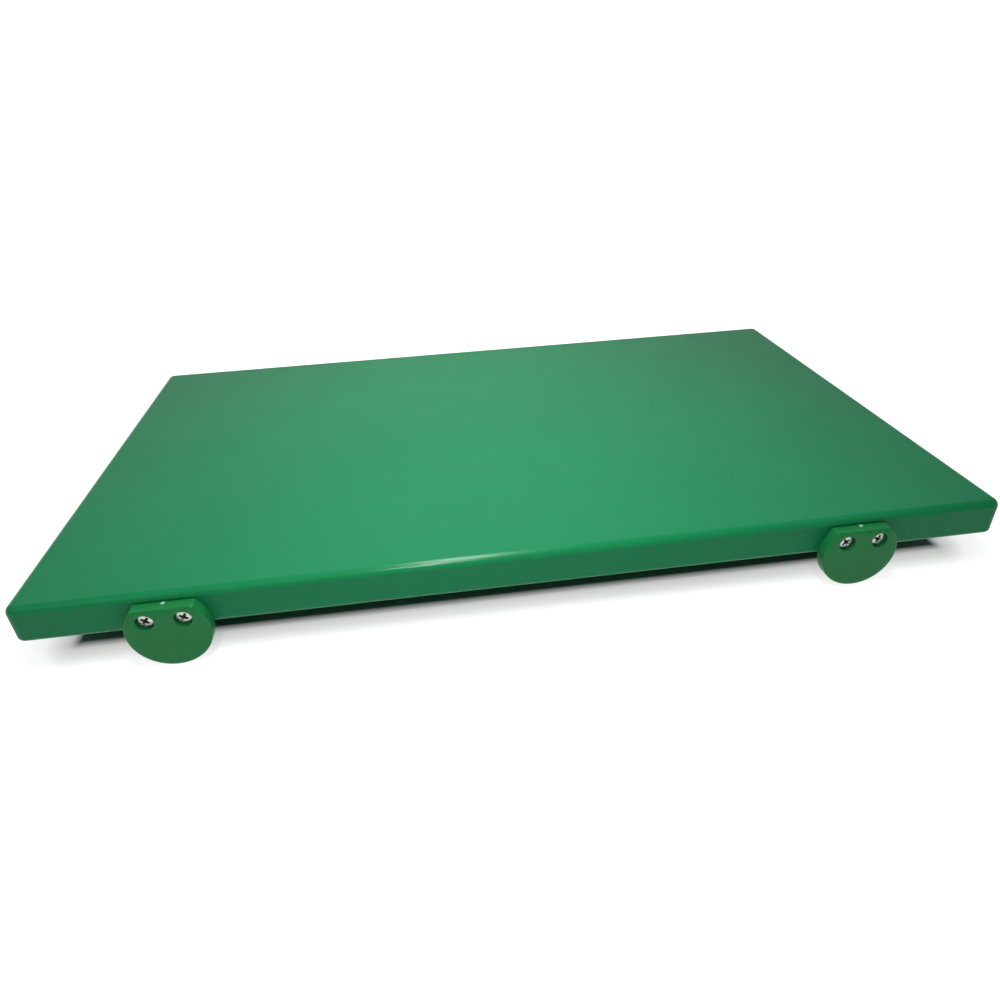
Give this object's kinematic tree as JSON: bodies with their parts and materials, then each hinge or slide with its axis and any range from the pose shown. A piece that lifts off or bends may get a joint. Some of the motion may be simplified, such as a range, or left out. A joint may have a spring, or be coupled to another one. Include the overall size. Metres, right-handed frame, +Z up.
{
  "type": "cutting board with worktop stops",
  "caption": "Rectangular green plastic kitchen cutting board with D-shaped stops screwed to its front edge, which hook over the front of a worktop.",
  "frame": {"origin": "centre of the board's underside, the face that lies on the worktop", "axes": "+X along the board's length, +Y from the front edge with the stops towards the back edge, +Z up, out of the cutting surface"},
  "size_m": [0.5, 0.307, 0.0385],
  "materials": {
    "board_plastic": "satin high-density polyethylene, milled and lightly polished",
    "stop_plastic": "semi-gloss injection-moulded plastic",
    "screw_zinc": "bright zinc plate"
  },
  "bodies": {
    "root": {"cutting_board": "board_plastic", "left_stop": "stop_plastic", "right_stop": "stop_plastic", "left_stop_screw_left": "screw_zinc", "left_stop_screw_right": "screw_zinc", "right_stop_screw_left": "screw_zinc", "right_stop_screw_right": "screw_zinc"}
  },
  "joints": []
}
